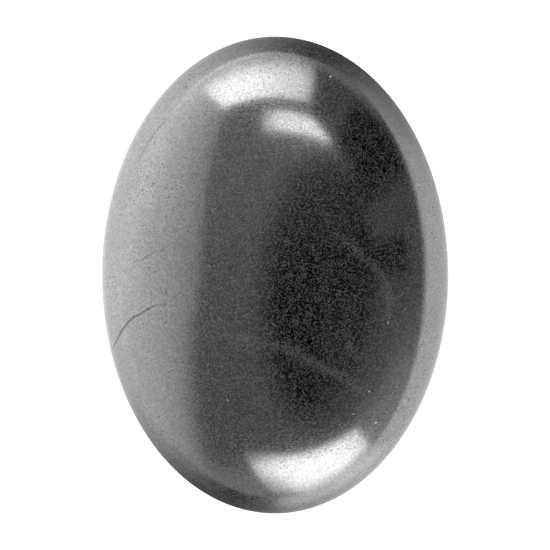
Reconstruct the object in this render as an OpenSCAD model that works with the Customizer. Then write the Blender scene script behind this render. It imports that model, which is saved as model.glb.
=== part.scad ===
// Oval massage stone, polished all over.
//
// One solid piece of rock, so it has one node and no joint.
// It lies on the XY plane: the long axis is along Y, the short axis along X
// and the crown points to +Z. The origin is the centre of the rest land.

/* [Plan] */
// Length along the long axis
stone_length = 80; // [60:1:110]
// Width across the short axis
stone_width = 58.25; // [40:0.25:80]

/* [Section] */
// Thickness from the rest land to the crown
stone_thickness = 30; // [18:0.5:45]
// Length of the flat rest land under the stone, along the long axis
rest_length = 26; // [10:1:50]

/* [Hidden] */
$fn = 128;

// The rest land cuts the underside where the oval section is this share of the full plan.
rest_share = rest_length / stone_length;
// Depth of that cut below the girdle, as a share of the crown's height above it.
rest_drop = sqrt(1 - rest_share * rest_share);
// The girdle is the widest level. The crown rises above it, the belly hangs below it.
crown_height = stone_thickness / (1 + rest_drop);
girdle_height = stone_thickness - crown_height;

// A pebble with three different half-axes, centred on its girdle.
module pebble() {
    scale([stone_width / 2, stone_length / 2, crown_height])
        sphere(r = 1);
}

// The space above the surface that the stone rests on.
module above_rest_land() {
    translate([-stone_width, -stone_length, 0])
        cube([2 * stone_width, 2 * stone_length, 2 * stone_thickness]);
}

module stone() {
    color("dimgray")
        intersection() {
            translate([0, 0, girdle_height]) pebble();
            above_rest_land();
        }
}

stone();
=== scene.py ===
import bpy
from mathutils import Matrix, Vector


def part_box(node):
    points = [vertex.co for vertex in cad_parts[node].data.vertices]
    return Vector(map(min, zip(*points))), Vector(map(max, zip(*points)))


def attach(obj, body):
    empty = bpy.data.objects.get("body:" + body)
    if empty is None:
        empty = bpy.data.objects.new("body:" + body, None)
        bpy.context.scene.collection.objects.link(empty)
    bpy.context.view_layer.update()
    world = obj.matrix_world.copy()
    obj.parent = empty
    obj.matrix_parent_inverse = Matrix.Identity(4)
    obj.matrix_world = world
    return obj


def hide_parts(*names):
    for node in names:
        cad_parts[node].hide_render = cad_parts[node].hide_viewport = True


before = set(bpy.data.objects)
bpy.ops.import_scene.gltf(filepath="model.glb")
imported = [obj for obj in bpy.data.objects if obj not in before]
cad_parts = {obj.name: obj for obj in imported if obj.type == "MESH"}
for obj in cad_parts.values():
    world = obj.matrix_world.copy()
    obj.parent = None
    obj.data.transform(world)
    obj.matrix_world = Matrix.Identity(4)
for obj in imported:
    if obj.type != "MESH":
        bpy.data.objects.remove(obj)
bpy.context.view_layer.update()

# %% [markdown]
# ## Measuring the stone
#
# The designed solid is a pebble with three different half-axes. A flat cut underneath, the
# rest land, keeps it from rolling. The box gives the half width and the half length. The
# rest land is what lies at height zero, and its length tells how deep the cut is, so the
# widest level, the girdle, can be worked out. Measuring keeps this script right when the
# design changes.
# %% Measure the half-axes, the girdle and the rest land
import math

import bmesh
import bpy
from mathutils import Vector, kdtree

MM = 0.001
low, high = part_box("stone")
half_width = (high.x - low.x) / 2
half_length = (high.y - low.y) / 2
thickness = high.z - low.z

cad_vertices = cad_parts["stone"].data.vertices
rest_half_length = max(abs(v.co.y) for v in cad_vertices if v.co.z < 0.001 * MM)
rest_share = rest_half_length / half_length
crown_height = thickness / (1 + math.sqrt(1 - rest_share**2))
girdle_height = thickness - crown_height
half_axes = Vector((half_width, half_length, crown_height))
print("half-axes, mm:", [round(a / MM, 2) for a in half_axes])
print(f"girdle at {girdle_height / MM:.2f} mm, rest land {2 * rest_half_length / MM:.1f} mm long")

# %% [markdown]
# ## Writing nodes as sums
#
# Materials, the light and the shape below are all node trees. Placing nodes one by one is
# long to read, so one small class wraps a socket: adding or multiplying two wrapped sockets
# adds the Math node, or the Vector Math node if either of them is a vector. Any other node
# comes from `Tree.node`, which sets a node's options first and its sockets after.
# %% A socket that can be used in a sum
class Sock:
    """One output of a node, for use in Python sums."""

    def __init__(self, tree, out):
        self.tree = tree
        self.out = out

    def join(self, operation, first, second):
        wrapped = [s for s in (first, second) if isinstance(s, Sock)]
        if any(s.out.type == "VECTOR" for s in wrapped):
            return self.tree.vector(operation, first, second)
        return self.tree.math(operation, first, second)

    def __add__(self, other):
        return self.join("ADD", self, other)

    def __radd__(self, other):
        return self.join("ADD", other, self)

    def __sub__(self, other):
        return self.join("SUBTRACT", self, other)

    def __rsub__(self, other):
        return self.join("SUBTRACT", other, self)

    def __mul__(self, other):
        return self.join("MULTIPLY", self, other)

    def __rmul__(self, other):
        return self.join("MULTIPLY", other, self)

    def __truediv__(self, other):
        return self.join("DIVIDE", self, other)

    def __rtruediv__(self, other):
        return self.join("DIVIDE", other, self)


print("sockets can be added, subtracted, multiplied and divided")

# %% [markdown]
# The tree class holds that one method, and four short ones that call it for the nodes used
# most. A plain number in a vector sum stands for the same number three times, as it does in
# hand-written maths.
# %% A tree with one method for every node
class Tree:
    """A node tree that is written from Python."""

    def __init__(self, node_tree):
        self.nodes = node_tree.nodes
        self.links = node_tree.links
        self.nodes.clear()

    def node(self, kind, settings=None, output=0, **sockets):
        made = self.nodes.new(kind)
        for name, value in (settings or {}).items():
            setattr(made, name, value)
        for name, value in sockets.items():
            self.fill(self.socket(made, name), value)
        return Sock(self, made.outputs[output]) if made.outputs else made

    def socket(self, made, name):
        """Value_1 is the second socket called Value, and From_Min is From Min."""
        words, _, number = name.rpartition("_")
        index = 0
        if number.isdigit():
            name, index = words, int(number)
        name = name.replace("_", " ")
        found = [s for s in made.inputs if s.name == name and s.enabled]
        return found[index]

    def fill(self, socket, value):
        if isinstance(value, Sock):
            self.links.new(value.out, socket)
        else:
            socket.default_value = value

    def math(self, operation, first, second=0.0):
        return self.node("ShaderNodeMath", {"operation": operation}, Value_0=first, Value_1=second)

    def vector(self, operation, first, second, output=0):
        first, second = ((v,) * 3 if isinstance(v, (int, float)) else v for v in (first, second))
        settings = {"operation": operation}
        return self.node("ShaderNodeVectorMath", settings, output, Vector_0=first, Vector_1=second)

    def step(self, value, start, end, low=0.0, high=1.0):
        """Runs smoothly from low to high as value runs from start to end."""
        return self.node(
            "ShaderNodeMapRange", {"interpolation_type": "SMOOTHSTEP"},
            Value=value, From_Min=start, From_Max=end, To_Min=low, To_Max=high,
        )

    def split(self, vector):
        made = self.node("ShaderNodeSeparateXYZ", Vector=vector).out.node
        return [Sock(self, out) for out in made.outputs]


print("node helpers ready")

# %% [markdown]
# ## Lines on the stone
#
# A pebble is never blank. This one has three hairline cracks at its left edge, two pale
# wisps of vein across the crown and a few chips. A line on a curved surface is easiest to
# choose on a flat plan, so every point here is a place on the plan, in millimetres from the
# centre, and `on_crown` lifts it to the surface. The third number is how strong the line is
# at that point, so that it can fade away instead of stopping.
# %% Choose the cracks, the veins and the chips on the plan
CRACKS = {
    "edge_crack": [(-27.3, -12.9, 0.3), (-26.6, -11.4, 0.8), (-25.6, -9.5, 1), (-24.6, -8.2, 0.9),
                   (-23.3, -7.0, 1), (-22.2, -6.5, 0.8), (-21.0, -5.7, 1), (-19.8, -5.2, 0.7),
                   (-18.4, -4.9, 0.25), (-16.2, -3.8, 0)],
    "middle_crack": [(-24.3, 1.7, 0), (-22.6, 2.3, 0.3), (-21.3, 2.9, 0.55), (-19.8, 3.7, 0.45),
                     (-18.2, 4.2, 0.2), (-17.3, 4.9, 0)],
    "upper_crack": [(-23.3, 17.8, 0), (-22.5, 19.6, 0.4), (-21.2, 21.8, 0.5), (-19.6, 24.2, 0.5),
                    (-18.3, 25.6, 0.3), (-17.2, 26.9, 0)],
}
VEINS = {
    "cross_vein": [(-13.0, -9.6, 0.3), (-7.0, -10.3, 0.6), (-2.0, -10.9, 0.6), (2.1, -12.3, 0.8),
                   (5.8, -14.0, 1), (8.8, -15.6, 1), (11.5, -17.2, 0.8), (14.3, -18.9, 0.6),
                   (16.0, -20.4, 0)],
    "side_vein": [(9.6, 7.0, 0.3), (12.9, 4.6, 0.9), (15.6, 2.2, 0.8), (17.7, -0.6, 0.6),
                  (18.7, -3.1, 0.7), (18.9, -6.6, 0.6), (18.4, -11.0, 0)],
    "wisp": [(12.6, -9.6, 0), (12.3, -11.5, 0.8), (11.9, -13.6, 0)],
}
# Across, along and radius of each chip
CHIPS = [(9.15, 33.0, 0.2), (16.7, -24.6, 0.26), (20.0, -27.7, 0.2), (-7.8, -20.7, 0.16),
         (15.6, -19.3, 0.15), (13.0, -23.1, 0.14), (18.7, -7.9, 0.13), (24.5, -10.9, 0.17),
         (24.25, -11.35, 0.17), (23.95, -11.85, 0.15)]


def on_crown(across, along):
    """The point of the crown above a place on the plan, all in metres."""
    u, v = across / half_width, along / half_length
    return Vector((across, along, girdle_height + crown_height * math.sqrt(1 - u * u - v * v)))


print(len(CRACKS), "cracks,", len(VEINS), "veins,", len(CHIPS), "chips")

# %% [markdown]
# The lines become Bezier curves, because Geometry Nodes can measure how far any point of
# the stone is from a curve. A point's radius carries the strength of the line. The chips
# become loose vertices with their size as an attribute.
# %% Lay the lines and the chips on the crown
def lay_lines(name, lines):
    curve = bpy.data.curves.new(name, "CURVE")
    curve.dimensions = "3D"
    for points in lines.values():
        spline = curve.splines.new("BEZIER")
        spline.bezier_points.add(len(points) - 1)
        for knot, (across, along, strength) in zip(spline.bezier_points, points):
            knot.co = on_crown(across * MM, along * MM)
            knot.radius = strength
            knot.handle_left_type = knot.handle_right_type = "AUTO"
    laid = bpy.data.objects.new(name, curve)
    bpy.context.scene.collection.objects.link(laid)
    return laid


def lay_chips(name, chips):
    mesh = bpy.data.meshes.new(name)
    mesh.from_pydata([on_crown(x * MM, y * MM) for x, y, _ in chips], [], [])
    size = mesh.attributes.new("size", "FLOAT", "POINT")
    size.data.foreach_set("value", [radius * MM for _, _, radius in chips])
    laid = bpy.data.objects.new(name, mesh)
    bpy.context.scene.collection.objects.link(laid)
    return laid


crack_lines = lay_lines("crack_lines", CRACKS)
vein_lines = lay_lines("vein_lines", VEINS)
chip_points = lay_chips("chip_points", CHIPS)
print("laid", crack_lines.name, vein_lines.name, chip_points.name)

# %% [markdown]
# ## The blank
#
# The shape follows a rule, so Geometry Nodes will make it from a plain blank: a ball of
# radius 1. A ball of even triangles has no poles, which would show as a pinch in a mirror
# finish. A hairline crack is far narrower than those triangles, so the blank is cut finer
# beside the cracks and chips only. That keeps the grooves real and the mesh light. To know
# which edges those are, this step gathers the places of the marks in a tree that quickly
# finds the nearest one.
# %% Gather the places of the fine detail
def detail_tree():
    """Points along every crack and on every chip, for finding what is near them."""
    bpy.context.view_layer.update()
    places = [v.co.copy() for v in crack_lines.to_mesh().vertices]
    crack_lines.to_mesh_clear()
    places += [v.co.copy() for v in chip_points.data.vertices]
    tree = kdtree.KDTree(len(places))
    for number, place in enumerate(places):
        tree.insert(place, number)
    tree.balance()
    return tree


def place_on_stone(point):
    """Where a point of the unit ball comes to lie on the stone."""
    scaled = Vector(a * b for a, b in zip(point.normalized(), half_axes))
    return scaled + Vector((0, 0, girdle_height))


near_detail = detail_tree()
print("top of the stone, mm:", round(place_on_stone(Vector((0, 0, 1))).z / MM, 2))

# %% [markdown]
# The blank is cut three times, each time closer to the marks, so that the triangles get
# smaller step by step and not all at once. Every new vertex is then moved back out to the
# ball, because a cut puts it on the straight edge below.
# %% Make the blank, finer near the marks
BALL_LEVEL = 7
FINE_REACHES = (1.1 * MM, 0.75 * MM, 0.5 * MM)


def make_blank():
    ball = bmesh.new()
    bmesh.ops.create_icosphere(ball, subdivisions=BALL_LEVEL, radius=1)
    for reach in FINE_REACHES:
        middles = ((e, (e.verts[0].co + e.verts[1].co) / 2) for e in ball.edges)
        near = [e for e, m in middles if near_detail.find(place_on_stone(m))[2] < reach]
        bmesh.ops.subdivide_edges(ball, edges=near, cuts=1)
        bmesh.ops.triangulate(ball, faces=[f for f in ball.faces if len(f.verts) > 3])
    for vertex in ball.verts:
        vertex.co.normalize()
    mesh = bpy.data.meshes.new("massage_stone")
    ball.to_mesh(mesh)
    ball.free()
    return mesh


blank = bpy.data.objects.new("massage_stone_blank", make_blank())
bpy.context.scene.collection.objects.link(blank)
print("blank has", len(blank.data.polygons), "triangles")

# %% [markdown]
# ## Grinding the blank
#
# The tree does what the maker does, in the same order. It stretches the ball to the three
# half-axes and lays it on its land, with a smooth maximum so that the land's edge is round.
# Hand polishing leaves the surface a few hundredths of a millimetre uneven, which is what
# makes mirrored edges waver. Then the cracks and the chips are cut. The tree also stores
# how much crack, vein and chip there is at each point, for the finish to use.
# %% Name the inputs of the grinding tree
GRIND_INPUTS = [
    ("Half Axes", "NodeSocketVector"), ("Girdle Height", "NodeSocketFloat"),
    ("Land Rounding", "NodeSocketFloat"), ("Unevenness", "NodeSocketFloat"),
    ("Unevenness Size", "NodeSocketFloat"), ("Crack Lines", "NodeSocketObject"),
    ("Crack Width", "NodeSocketFloat"), ("Crack Depth", "NodeSocketFloat"),
    ("Vein Lines", "NodeSocketObject"), ("Vein Width", "NodeSocketFloat"),
    ("Chip Points", "NodeSocketObject"), ("Chip Depth", "NodeSocketFloat"),
    ("Seed", "NodeSocketFloat"), ("Finish", "NodeSocketMaterial"),
]
print("grinding tree takes", len(GRIND_INPUTS), "inputs")

# %% [markdown]
# A crack or a vein is a share: 1 on its line and 0 a width away from it. The curve is cut
# into even steps and made a wire, and each point of the skin then asks the wire how near it
# is and how strong it is there. A real crack follows the crystals, so the place that asks is
# first moved about a little by noise. A vein wanders more, which makes its edges cloudy.
# %% Measure how much crack or vein there is
LINE_POINTS = 160
# Over what size and by how much each kind of mark wanders
CRACK_WANDER = (1.4 * MM, 0.25 * MM)
CHIP_WANDER = (0.4 * MM, 0.3 * MM)
VEIN_WANDER = (3 * MM, 1.6 * MM)


def named(tree, name):
    return tree.node("GeometryNodeInputNamedAttribute", {"data_type": "FLOAT"}, 0, Name=name)


def wander(tree, place, seed, size, amount):
    """The place, moved about by a soft noise so that a line isn't too smooth."""
    noise = tree.node(
        "ShaderNodeTexNoise", {"noise_dimensions": "4D"}, "Color",
        Vector=place, W=seed, Scale=1 / size, Detail=2.0,
    )
    return place + tree.vector("SUBTRACT", noise, 0.5) * amount


def line_share(tree, laid, place, width):
    """1 on a laid line and 0 a width away from it, times the line's own strength there."""
    info = tree.node("GeometryNodeObjectInfo", None, "Geometry", Object=laid)
    even = tree.node("GeometryNodeResampleCurve", None, 0, Curve=info, Count=LINE_POINTS)
    kept = tree.node(
        "GeometryNodeStoreNamedAttribute", {"data_type": "FLOAT", "domain": "POINT"}, 0,
        Geometry=even, Name="strength", Value=tree.node("GeometryNodeInputRadius"),
    )
    wire = tree.node("GeometryNodeCurveToMesh", None, 0, Curve=kept)
    away = tree.node(
        "GeometryNodeProximity", {"target_element": "EDGES"}, "Distance",
        Geometry=wire, Sample_Position=place,
    )
    nearest = tree.node(
        "GeometryNodeSampleNearest", {"domain": "POINT"}, 0, Geometry=wire, Sample_Position=place
    )
    strength = tree.node(
        "GeometryNodeSampleIndex", {"data_type": "FLOAT", "domain": "POINT"}, 0,
        Geometry=wire, Value=named(tree, "strength"), Index=nearest,
    )
    return tree.step(away, 0, width, 1, 0) * strength


print("cracks wander by", CRACK_WANDER[1] / MM, "mm and veins by", VEIN_WANDER[1] / MM, "mm")

# %% [markdown]
# A chip is a small bowl where the stone was knocked. It is a share as well, measured from
# the nearest of the laid points and divided by that chip's own radius.
# %% Measure how much chip there is
CHIP_FLOOR = 0.35


def chip_share(tree, laid, place):
    """1 in the middle of a chip and 0 outside it."""
    info = tree.node("GeometryNodeObjectInfo", None, "Geometry", Object=laid)
    away = tree.node(
        "GeometryNodeProximity", {"target_element": "POINTS"}, "Distance",
        Geometry=info, Sample_Position=place,
    )
    nearest = tree.node(
        "GeometryNodeSampleNearest", {"domain": "POINT"}, 0, Geometry=info, Sample_Position=place
    )
    size = tree.node(
        "GeometryNodeSampleIndex", {"data_type": "FLOAT", "domain": "POINT"}, 0,
        Geometry=info, Value=named(tree, "size"), Index=nearest,
    )
    return tree.step(away / size, CHIP_FLOOR, 1, 1, 0)


print("a chip is flat over", CHIP_FLOOR, "of its radius")

# %% [markdown]
# Two small tools are left. One keeps a share on the mesh under a name, because the finish
# needs it later. The other pushes the skin in. There is none that pushes out, so the stone
# stays inside its designed box.
# %% Keep a share, and push the skin in
def keep(tree, geometry, name, value):
    return tree.node(
        "GeometryNodeStoreNamedAttribute", {"data_type": "FLOAT", "domain": "POINT"}, 0,
        Geometry=geometry, Name=name, Value=value,
    )


def push_in(tree, geometry, depth):
    inwards = tree.node("GeometryNodeInputNormal") * (depth * -1)
    return tree.node("GeometryNodeSetPosition", None, 0, Geometry=geometry, Offset=inwards)


print("grinding tools ready")

# %% [markdown]
# The tree itself moves the skin to the pebble's shape, then inwards by the unevenness, and
# then inwards again by the cracks and by the chips.
# %% Join the tools into one tree
def make_grinding_tree():
    group = bpy.data.node_groups.new("grind_pebble", "GeometryNodeTree")
    group.interface.new_socket("Blank", in_out="INPUT", socket_type="NodeSocketGeometry")
    for name, kind in GRIND_INPUTS:
        group.interface.new_socket(name, in_out="INPUT", socket_type=kind)
    group.interface.new_socket("Stone", in_out="OUTPUT", socket_type="NodeSocketGeometry")
    tree = Tree(group)
    given = {s.name: Sock(tree, s) for s in group.nodes.new("NodeGroupInput").outputs if s.name}

    place = tree.node("GeometryNodeInputPosition")
    across, along, up = tree.split(place * given["Half Axes"])
    level = tree.node(
        "ShaderNodeMath", {"operation": "SMOOTH_MAX"},
        Value_0=up + given["Girdle Height"], Value_1=0.0, Value_2=given["Land Rounding"],
    )
    shaped = tree.node("ShaderNodeCombineXYZ", X=across, Y=along, Z=level)
    pebble = tree.node("GeometryNodeSetPosition", None, 0, Geometry=given["Blank"], Position=shaped)

    swell = tree.node(
        "ShaderNodeTexNoise", {"noise_dimensions": "4D"}, 0,
        Vector=place, W=given["Seed"], Scale=1 / given["Unevenness Size"], Detail=1.0,
    )
    polished = push_in(tree, pebble, swell * given["Unevenness"])

    crack_place, chip_place, vein_place = (
        wander(tree, place, given["Seed"], *how) for how in (CRACK_WANDER, CHIP_WANDER, VEIN_WANDER)
    )
    crack = line_share(tree, given["Crack Lines"], crack_place, given["Crack Width"])
    chip = chip_share(tree, given["Chip Points"], chip_place)
    vein = line_share(tree, given["Vein Lines"], vein_place, given["Vein Width"])
    marked = keep(tree, polished, "vein", vein)
    marked = keep(tree, marked, "crack", crack)
    marked = keep(tree, marked, "chip", chip)
    cut = push_in(tree, marked, named(tree, "crack") * given["Crack Depth"])
    cut = push_in(tree, cut, named(tree, "chip") * given["Chip Depth"])

    smooth = tree.node("GeometryNodeSetShadeSmooth", None, 0, Geometry=cut)
    real = tree.node("GeometryNodeRealizeInstances", None, 0, Geometry=smooth)
    done = tree.node("GeometryNodeSetMaterial", None, 0, Geometry=real, Material=given["Finish"])
    tree.node("NodeGroupOutput", Stone=done)
    return group


grinding = make_grinding_tree()
print("grinding tree has", len(grinding.nodes), "nodes")

# %% [markdown]
# ## The grain
#
# Rock this dense is a mirror with grain in it. Under a lens it is packed crystals, and they
# don't all take the same polish. An even grey would read as steel, and grain made of bumps
# alone would sparkle, so the grain is made of numbers that belong to each crystal:
#
# - its tone, a little lighter or darker than its neighbours,
# - its tilt, which moves the mirrored light by a hair,
# - whether it stayed dull. Dull crystals are smaller, and they crowd together in places.
#
# Soft noise at three sizes adds what is slower than a crystal. Tiny pits, where a grain fell
# out, sit only where the stone is weakest.
# %% Lay out the grain
CRYSTALS_PER_MM = 4.6
DULL_ONES_PER_MM = 6.9
PITS_PER_MM = 1.6
FINE_PER_MM, MOTTLE_PER_MM, SLOW_PER_MM = 2.4, 0.6, 0.12
PIT_EDGE = (0.14, 0.38)
WEAK_STONE = (0.48, 0.6)


def crystals(tree, place, per_mm):
    """Three random numbers that stay the same over one crystal."""
    return tree.split(tree.node("ShaderNodeTexVoronoi", None, "Color", Vector=place, Scale=per_mm))


def cloud(tree, place, per_mm, detail, roughness):
    return tree.node(
        "ShaderNodeTexNoise", None, 0,
        Vector=place, Scale=per_mm, Detail=detail, Roughness=roughness,
    )


def pits(tree, place, weakness):
    """1 in a pit and 0 outside it, and no pits where the stone isn't weak."""
    away = tree.node("ShaderNodeTexVoronoi", None, "Distance", Vector=place, Scale=PITS_PER_MM)
    return tree.step(away, *PIT_EDGE, 1, 0) * tree.step(weakness, *WEAK_STONE)


print("crystals are", round(1 / CRYSTALS_PER_MM, 2), "mm across")
print("dull ones are", round(1 / DULL_ONES_PER_MM, 2), "mm across")

# %% [markdown]
# ## The finish
#
# The polish throws back about a quarter of the light and tints nothing, as dark steel does.
# A clear coat over black would mirror far too little, so the shader is metallic with a dark
# grey base. A dull crystal is less metallic: it scatters light instead of mirroring it, so it
# is a pale dot in a dark reflection and a dark dot in a bright one. Veins are crowds of dull
# crystals. Cracks and chips are rough, because no polishing cloth reached into them. Chips
# are also pale, and the base colour is darker along the cracks.
# %% Mix the finish
BASE_TONE = 0.255
POLISH = 0.1
EDGE_TINT = 0.85
GRAIN_RELIEF = 0.003 * MM


def grey(tree, level):
    return tree.node("ShaderNodeCombineColor", None, 0, Red=level, Green=level, Blue=level)


def make_finish():
    material = bpy.data.materials.new("polished_dark_stone")
    material.use_nodes = True
    tree = Tree(material.node_tree)
    place = tree.node("ShaderNodeTexCoord", None, "Object") * (1 / MM)
    crack, vein, chip = (
        tree.node("ShaderNodeAttribute", {"attribute_name": name}, "Fac")
        for name in ("crack", "vein", "chip")
    )

    tone, tilt, _ = crystals(tree, place, CRYSTALS_PER_MM)
    luck, _, _ = crystals(tree, place, DULL_ONES_PER_MM)
    fine = cloud(tree, place, FINE_PER_MM, 3.0, 0.7)
    mottle = cloud(tree, place, MOTTLE_PER_MM, 2.0, 0.6)
    slow = cloud(tree, place, SLOW_PER_MM, 3.0, 0.55)
    dull = tree.step(luck + 0.5 * (mottle - 0.5) + 0.4 * vein, 0.5, 0.75)

    shade = BASE_TONE * (0.84 + 0.36 * tone) * (0.7 + 0.6 * fine) * (0.85 + 0.3 * slow)
    pit = pits(tree, place, 0.5 * mottle + 0.5 * slow)
    # The base colour is darker along the cracks and paler in the chips
    shade = shade * (1 + 0.12 * dull) * (1 - 0.5 * pit) * (1 - 0.5 * crack) + 0.5 * chip
    roughness = POLISH + 0.03 * slow + 0.05 * dull + 0.35 * crack + 0.3 * chip
    metal = 1.0 - 0.3 * dull - 0.06 * vein - 0.3 * crack - 0.5 * chip
    relief = 0.6 * fine + 0.4 * tilt
    bump = tree.node("ShaderNodeBump", None, 0, Height=relief, Distance=GRAIN_RELIEF, Strength=1.0)
    shader = tree.node(
        "ShaderNodeBsdfPrincipled", None, 0, Base_Color=grey(tree, shade), Roughness=roughness,
        Metallic=metal, Normal=bump, Specular_Tint=(EDGE_TINT, EDGE_TINT, EDGE_TINT, 1),
    )
    tree.node("ShaderNodeOutputMaterial", Surface=shader)
    return material


finish = make_finish()
print("finish:", finish.name, "with", len(finish.node_tree.nodes), "nodes")

# %% [markdown]
# ## Grind the stone
#
# The modifier's inputs are set by the identifiers of their sockets, before anything is
# evaluated. The evaluated result then becomes a plain mesh, and the blank, the lines and the
# points are cleared away, because a finished piece should not depend on its tools.
# %% Run the tree and keep the result as a plain mesh
GRIND_SETTINGS = {
    "Half Axes": half_axes, "Girdle Height": girdle_height, "Land Rounding": 0.5 * MM,
    "Unevenness": 0.05 * MM, "Unevenness Size": 13 * MM,
    "Crack Lines": crack_lines, "Crack Width": 0.3 * MM, "Crack Depth": 0.06 * MM,
    "Vein Lines": vein_lines, "Vein Width": 1.3 * MM,
    "Chip Points": chip_points, "Chip Depth": 0.1 * MM,
    "Seed": 4.0, "Finish": finish,
}


def grind(blank):
    modifier = blank.modifiers.new("grind", "NODES")
    modifier.node_group = grinding
    for item in grinding.interface.items_tree:
        if item.in_out == "INPUT" and item.name in GRIND_SETTINGS:
            modifier[item.identifier] = GRIND_SETTINGS[item.name]
    view = bpy.context.evaluated_depsgraph_get()
    mesh = bpy.data.meshes.new_from_object(blank.evaluated_get(view), depsgraph=view)
    mesh.name = "massage_stone"
    stone = bpy.data.objects.new("massage_stone", mesh)
    bpy.context.scene.collection.objects.link(stone)
    for tool in (blank, crack_lines, vein_lines, chip_points):
        bpy.data.objects.remove(tool)
    return stone


stone = grind(blank)
print("stone has", len(stone.data.polygons), "triangles, size in mm:",
      [round(d / MM, 2) for d in stone.dimensions])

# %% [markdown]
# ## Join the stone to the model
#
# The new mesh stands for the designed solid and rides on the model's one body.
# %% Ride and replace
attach(stone, "root")
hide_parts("stone")
print("stone rides on root and replaces the designed solid")

# %% [markdown]
# ## The camera
#
# The view looks straight down on the crown from far away, through a long lens, so that the
# outline is the girdle itself and isn't swollen by perspective.
# %% Hang the camera over the crown
SENSOR = 36.0
LENS = 300.0
FILL_SHARE = 0.8675


def make_camera():
    data = bpy.data.cameras.new("camera")
    data.sensor_width = SENSOR
    data.lens = LENS
    camera = bpy.data.objects.new("camera", data)
    frame_height = 2 * half_length / FILL_SHARE
    camera.location = (0, 0, girdle_height + frame_height * LENS / SENSOR)
    bpy.context.scene.collection.objects.link(camera)
    bpy.context.scene.camera = camera
    return camera


camera = make_camera()
print("camera height, mm:", round(camera.location.z / MM))

# %% [markdown]
# ## Light near floor level
#
# A polished stone is lit by what it mirrors. Its rim mirrors the floor around it and the
# foot of the walls. Their light and shade are painted here by place: bright at the two sides,
# and a painted shadow of the stone dims them beyond its two ends. A painted pool of light
# stands for the front softbox's spill in front of itself, on the floor far from the stone more
# than close to it. Both the floor and the room need this painted light, so it is one
# function of the place, seen from the middle of the stone.
# %% Paint the light and shade of the low surroundings
DIM_AXIS = (0.292, 0.956, 0)
SPILL_AXIS = (0.375, -0.927, 0)
LEFT_LOW, RIGHT_LOW = 1.75, 1.28
PAINTED_END_SHADOW, END_POWER = 0.93, 2.1
SPILL_CLOSE, SPILL_FAR = 0.15, 0.75
SPILL_REACH = (0.045, 0.11)
SPILL_SIDES = (0.9, 0.97)


def painted_low_light(tree, place):
    level = place * (1.0, 1.0, 0.0)
    away = tree.node("ShaderNodeVectorMath", {"operation": "LENGTH"}, "Value", Vector=level)
    aim = tree.node("ShaderNodeVectorMath", {"operation": "NORMALIZE"}, Vector=level)
    across, _, _ = tree.split(aim)
    lengthwise = tree.vector("DOT_PRODUCT", aim, DIM_AXIS, "Value")
    towards_spill = tree.vector("DOT_PRODUCT", aim, SPILL_AXIS, "Value")
    end_on = tree.math("POWER", lengthwise * lengthwise, END_POWER)
    sides = tree.step(across, -1, 1, LEFT_LOW, RIGHT_LOW)
    spill = tree.step(away, *SPILL_REACH, SPILL_CLOSE, SPILL_FAR)
    # Painted light and shade: bright sides, a painted shadow of the stone at its ends, a painted
    # pool of spill light
    return sides * (1 - PAINTED_END_SHADOW * end_on) + spill * tree.step(towards_spill, *SPILL_SIDES)


print("low light runs up to", LEFT_LOW, "on the left and", RIGHT_LOW, "on the right")

# %% [markdown]
# ## The floor
#
# A plain pale floor, which also glows a little, as a backlit sheet does, so that only a
# faint shadow is left under the stone. The stone should mirror a floor that falls off around
# it, and not the even sheet that the camera sees, so the floor has one look for each. The
# mirrored look is painted light and shade: a glow of the painted brightness of the low
# surroundings, with the painted shadow of the stone at its ends.
# %% Mix the floor's two looks
PAPER_TONE = 0.92
BACKLIGHT = 0.72


def glowing(tree, level):
    return tree.node("ShaderNodeEmission", None, 0, Color=grey(tree, level), Strength=1.0)


def make_floor_look():
    material = bpy.data.materials.new("pale_floor")
    material.use_nodes = True
    tree = Tree(material.node_tree)
    paper_grey = (PAPER_TONE, PAPER_TONE, PAPER_TONE, 1)
    paper = tree.node("ShaderNodeBsdfDiffuse", None, 0, Color=paper_grey)
    backlight = glowing(tree, BACKLIGHT)
    sheet = tree.node("ShaderNodeAddShader", None, 0, Shader_0=paper, Shader_1=backlight)
    # The mirrored look is a glow of painted light and shade
    painted_floor_glow = glowing(tree, painted_low_light(tree, tree.node("ShaderNodeTexCoord", None, "Object")))
    seen = tree.node("ShaderNodeLightPath", None, "Is Camera Ray")
    both = tree.node("ShaderNodeMixShader", None, 0, Fac=seen, Shader_0=painted_floor_glow, Shader_1=sheet)
    tree.node("ShaderNodeOutputMaterial", Surface=both)
    return material


floor_look = make_floor_look()
print("floor look:", floor_look.name, "with", len(floor_look.node_tree.nodes), "nodes")

# %% [markdown]
# The floor is one large square. It lies a hair below the stone, so that the two faces don't
# fight over the same place.
# %% Lay the floor
FLOOR_REACH = 3.0
FLOOR_LEVEL = -0.05 * MM


def make_floor():
    corners = [(-1, -1), (1, -1), (1, 1), (-1, 1)]
    places = [(x * FLOOR_REACH, y * FLOOR_REACH, FLOOR_LEVEL) for x, y in corners]
    mesh = bpy.data.meshes.new("floor")
    mesh.from_pydata(places, [], [(0, 1, 2, 3)])
    mesh.materials.append(floor_look)
    laid = bpy.data.objects.new("floor", mesh)
    bpy.context.scene.collection.objects.link(laid)
    return laid


floor = make_floor()
print("floor laid", 2 * FLOOR_REACH, "m wide")

# %% [markdown]
# ## The softboxes
#
# Three softboxes make the three highlights on the crown. An area light mirrors as a hard,
# even rectangle, but a real diffuser is brightest at one place and fades towards its edges.
# So each softbox is a card at one metre, cut into small cells, with its glow stored on the
# cell corners. Its four corners are given as directions from the stone: across, along, up.
# %% Cut a card for a softbox
CARD_DISTANCE = 1.0
CARD_CUTS = 12


def toward(across, along, up):
    """The point of a card that the stone sees in that direction."""
    return Vector((across, along, up)).normalized() * CARD_DISTANCE


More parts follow.
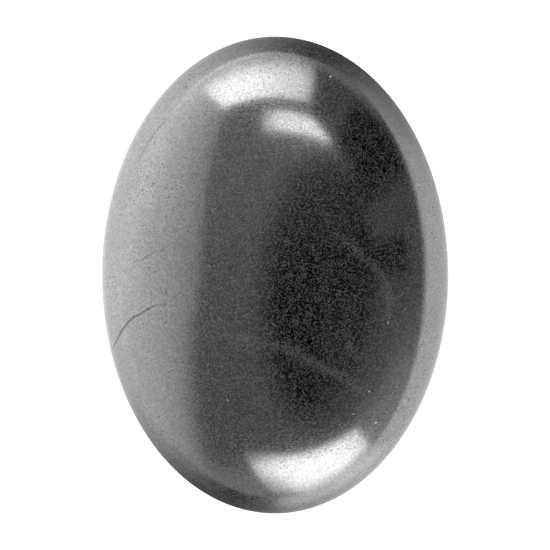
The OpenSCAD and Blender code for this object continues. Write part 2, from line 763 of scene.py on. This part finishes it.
def make_card(name, corners, glow):
    """glow gives the light at a share s of the card's width and a share t of its height."""
    low_left, low_right, high_right, high_left = (toward(*corner) for corner in corners)
    shares = [n / CARD_CUTS for n in range(CARD_CUTS + 1)]
    lattice = [(s, t) for t in shares for s in shares]
    row = len(shares)
    cells = [r * row + n for r in range(CARD_CUTS) for n in range(CARD_CUTS)]
    mesh = bpy.data.meshes.new(name)
    mesh.from_pydata(
        [low_left.lerp(low_right, s).lerp(high_left.lerp(high_right, s), t) for s, t in lattice],
        [], [(n, n + 1, n + 1 + row, n + row) for n in cells],
    )
    stored = mesh.attributes.new("glow", "FLOAT", "POINT")
    stored.data.foreach_set("value", [glow(s, t) for s, t in lattice])
    return mesh


print("cards have", CARD_CUTS * CARD_CUTS, "cells each")

# %% [markdown]
# A card becomes a softbox when its material gives out the glow that is stored on it. The
# camera doesn't see the cards, only the stone does.
# %% Make a softbox of a card
def softbox(name, corners, glow):
    material = bpy.data.materials.new(name)
    material.use_nodes = True
    tree = Tree(material.node_tree)
    stored = tree.node("ShaderNodeAttribute", {"attribute_name": "glow"}, "Fac")
    tree.node("ShaderNodeOutputMaterial", Surface=glowing(tree, stored))
    mesh = make_card(name, corners, glow)
    mesh.materials.append(material)
    card = bpy.data.objects.new(name, mesh)
    card.visible_camera = False
    bpy.context.scene.collection.objects.link(card)
    glows = [cell.value for cell in mesh.attributes["glow"].data]
    print(name, "glows from", round(min(glows), 2), "to", round(max(glows), 2))
    return card


print("softboxes are hidden from the camera")

# %% [markdown]
# The back softbox is low and wide. The high one is narrow and hangs over the far end of the
# stone. The front one stands low and reaches far to the right. Each has a glow of its own,
# which is a product of soft steps: one for its height and one for each end that is dimmer.
# %% Place the three softboxes
def ease(value, start, end):
    """0 before start, 1 after end, smooth between them."""
    share = min(1, max(0, (value - start) / (end - start)))
    return share * share * (3 - 2 * share)


def back_glow(s, t):
    """Brightest at its upper left."""
    height = 1.5 + 2.6 * ease(t, 0.0, 0.7)
    right_part = 1 - 0.4 * ease(s, 0.15, 0.9) - 0.3 * ease(s, 0.88, 1.0)
    return height * right_part


def high_glow(s, t):
    """Dimmer at its left end and a little along its far edge."""
    left_end = 0.5 + 0.5 * ease(s, 0.0, 0.35)
    far_edge = 1 - 0.2 * ease(t, 0.4, 1.0)
    return 3.5 * left_end * far_edge


def front_glow(s, t):
    """Brightest in the middle. It starts at the right, so s runs to the left."""
    height = 1.9 + 2.3 * ease(t, 0.0, 0.5)
    right_end = 0.7 + 0.3 * ease(s, 0.0, 0.3)
    left_end = 1 - (0.68 - 0.42 * ease(t, 0.45, 0.85)) * ease(s, 0.6, 0.95)
    top = 1 - 0.5 * ease(t, 0.8, 1.0)
    top_left_corner = 1 - 0.8 * ease(s + t, 1.6, 1.95)
    return height * right_end * left_end * top * top_left_corner


BACK_CORNERS = [(-0.77, 1, 0.12), (0.36, 1, 0.12), (0.37, 1, 0.92), (-0.55, 1, 0.89)]
HIGH_CORNERS = [(-0.10, 0.67, 1), (0.535, 0.67, 1), (0.35, 0.865, 1), (-0.11, 0.89, 1)]
FRONT_CORNERS = [(1.03, -1, 0.03), (0.05, -1, 0.03), (-0.33, -1, 0.90), (0.95, -1, 0.83)]
softbox("back_softbox", BACK_CORNERS, back_glow)
softbox("high_softbox", HIGH_CORNERS, high_glow)
softbox("front_softbox", FRONT_CORNERS, front_glow)

# %% [markdown]
# ## The room
#
# Between the softboxes the stone mirrors the room, and that is what makes it look polished:
# one long pale wall on the left, a dim ceiling with a dark oval where the camera hangs, and
# a dim right side with a dark doorway. Modelled walls would cast shadows and cost time, so
# the room is painted on the world by direction. `Lookout` works out, for one direction, its
# three parts and the place where it would meet a flat ceiling one unit up, because the
# edges of the room are straight lines there.
# %% Look out from the stone
DEGREE = math.pi / 180
HORIZON = 0.02


class Lookout:
    """A direction from the stone into the room."""

    def __init__(self, tree):
        self.ray = tree.node("ShaderNodeTexCoord", None, "Generated")
        self.x, self.y, self.z = tree.split(self.ray)
        self.up = tree.math("MAXIMUM", self.z, HORIZON)
        self.across = self.x / self.up
        self.along = self.y / self.up
        self.turn = tree.math("ARCTAN2", self.x, self.y) / DEGREE
        self.left_lean = tree.math("ARCTAN2", self.x * -1, self.up) / DEGREE


print("the room starts", round(math.asin(HORIZON) / DEGREE, 1), "degrees above the floor")

# %% [markdown]
# The left wall gets brighter from its top edge down and is dimmer towards both of its ends.
# The edge, where it meets the ceiling, is sharp behind the stone and blurs away in front of
# it. Each wall gives its light and its share, which is 1 where the wall is seen and 0 where
# it isn't.
# %% Paint the left wall
WALL_EDGE = -0.55
EDGE_SPREAD, EDGE_BLUR = 0.22, 0.55
WALL_LEAN = (10, 85)
WALL_TOP_LIGHT, WALL_FOOT_LIGHT = 0.4, 1.66
END_FALL = 0.4


def left_wall(tree, to):
    in_front = tree.math("MAXIMUM", to.along * -1, 0)
    below_edge = WALL_EDGE - EDGE_SPREAD * in_front - to.across
    share = tree.step(below_edge, -0.02, 0.03 + EDGE_BLUR * in_front)
    light = tree.step(to.left_lean, *WALL_LEAN, WALL_TOP_LIGHT, WALL_FOOT_LIGHT)
    ends = 1 + END_FALL * to.y * (1 - to.y)
    return light * ends, share


print("left wall goes from", WALL_TOP_LIGHT, "at its top to", WALL_FOOT_LIGHT, "at its foot")

# %% [markdown]
# The dark oval on the ceiling is what makes the middle of the crown so deep. It is a circle
# equation with two half-axes and a soft edge, and it is less dark at its far end and near
# its right side, where some light from the softboxes gets in.
# %% Paint the ceiling
OVAL_MIDDLE = (0.48, -0.12)
OVAL_HALF_AXES = (0.58, 0.66)
OVAL_EDGE = (0.6, 1.3)
OVAL_DEPTH = 0.97
CEILING_FRONT, CEILING_BACK = 0.19, 0.3


def ceiling(tree, to):
    p = (to.across - OVAL_MIDDLE[0]) / OVAL_HALF_AXES[0]
    q = (to.along - OVAL_MIDDLE[1]) / OVAL_HALF_AXES[1]
    oval = tree.step(p * p + q * q, *OVAL_EDGE, 1, 0)
    right_lobe = 0.25 * tree.step(to.across, 0.25, 0.5) * tree.step(to.along, -0.3, 0, 1, 0)
    far_lobe = 0.13 * tree.step(to.along, 0, 0.3)
    board = tree.step(to.y, -0.3, 0.6, CEILING_FRONT, CEILING_BACK)
    board = board * tree.step(to.across, 0.35, 1.0, 1, 0.3)
    front_wall = 0.28 * tree.step(to.y, -0.95, -0.75, 1, 0)
    return board * (1 - oval * (OVAL_DEPTH - right_lobe - far_lobe)) + front_wall


print("dark oval keeps", round(1 - OVAL_DEPTH, 2), "of the ceiling's light")

# %% [markdown]
# The right side is dim. The doorway and a narrow stand next to it are darker still, and the
# light rises towards the front softbox. Compass bearings are easiest for upright things, so
# both are given by how far they are turned from straight behind the stone, in degrees.
# %% Paint the right side
RIGHT_LIGHT = 0.14
DOORWAY = (40, 67)
STAND = (80, 90)
SOFTBOX_GLOW = 0.4


def between(tree, turn, bearings, blur):
    start, end = bearings
    past_start = tree.step(turn, start - blur, start + blur)
    before_end = tree.step(turn, end - blur, end + blur, 1, 0)
    return past_start * before_end


def right_side(tree, to):
    doorway = between(tree, to.turn, DOORWAY, 2.5)
    stand = between(tree, to.turn, STAND, 2.3) * tree.step(to.z, 0.35, 0.5)
    glow = SOFTBOX_GLOW * tree.step(to.y, -0.6, 0.05, 1, 0) * tree.step(to.z, 0.2, 0.75, 1, 0)
    share = tree.step(to.z, 0.7, 0.8, 1, 0) * tree.step(to.x, 0.2, 0.35)
    return RIGHT_LIGHT * (1 - doorway) * (1 - stand) + glow, share


print("doorway from", DOORWAY[0], "to", DOORWAY[1], "degrees, stand from", STAND[0], "to", STAND[1])

# %% [markdown]
# Low down, the far wall and the foot of every wall are lit. The foot is tall on the right
# and a low strip all round, and it passes into the light near floor level, so that the
# mirrored floor and the mirrored walls meet without a line.
# %% Paint the far wall and the foot of the walls
FAR_LEFT_LIGHT, FAR_RIGHT_LIGHT = 2.15, 0.35
FOOT_HEIGHT, STRIP_HEIGHT = 0.21, 0.08


def far_wall(tree, to):
    lit = tree.step(to.x, -0.5, 0.45, FAR_LEFT_LIGHT, FAR_RIGHT_LIGHT)
    return lit * tree.step(to.z, 0.12, 0.32, 1, 0) * tree.step(to.y, 0.5, 0.8)


def wall_foot(tree, to):
    leaning = to.z + 0.5 * (1 - to.x)
    tall = tree.step(leaning, -0.01, FOOT_HEIGHT, 1, 0) * tree.step(to.x, 0, 0.3)
    strip = tree.step(to.z, 0, STRIP_HEIGHT, 1, 0)
    return painted_low_light(tree, to.ray) * tree.math("MAXIMUM", tall, strip)


print("right wall is lit up to", round(math.asin(FOOT_HEIGHT) / DEGREE), "degrees")

# %% [markdown]
# Where two walls share a direction, their shares mix them. The lit low walls show wherever
# they are the brightest thing, so they join by the larger of two lights. The camera itself
# sees plain white, like the backlit floor.
# %% Put the room together
def make_room():
    world = bpy.data.worlds.new("studio")
    world.use_nodes = True
    tree = Tree(world.node_tree)
    to = Lookout(tree)
    wall, wall_share = left_wall(tree, to)
    right, right_share = right_side(tree, to)
    rest = ceiling(tree, to) * (1 - right_share) + right * right_share
    light = wall * wall_share + rest * (1 - wall_share)
    for lit_wall in (far_wall(tree, to), wall_foot(tree, to)):
        light = tree.math("MAXIMUM", light, lit_wall)
    seen = tree.node("ShaderNodeLightPath", None, "Is Camera Ray")
    light = light * (1 - seen) + seen
    sky = tree.node("ShaderNodeBackground", None, 0, Color=grey(tree, light), Strength=1.0)
    tree.node("ShaderNodeOutputWorld", Surface=sky)
    return world


bpy.context.scene.world = make_room()
bpy.context.scene.view_settings.view_transform = "Standard"
print("room painted with", len(bpy.context.scene.world.node_tree.nodes), "nodes")
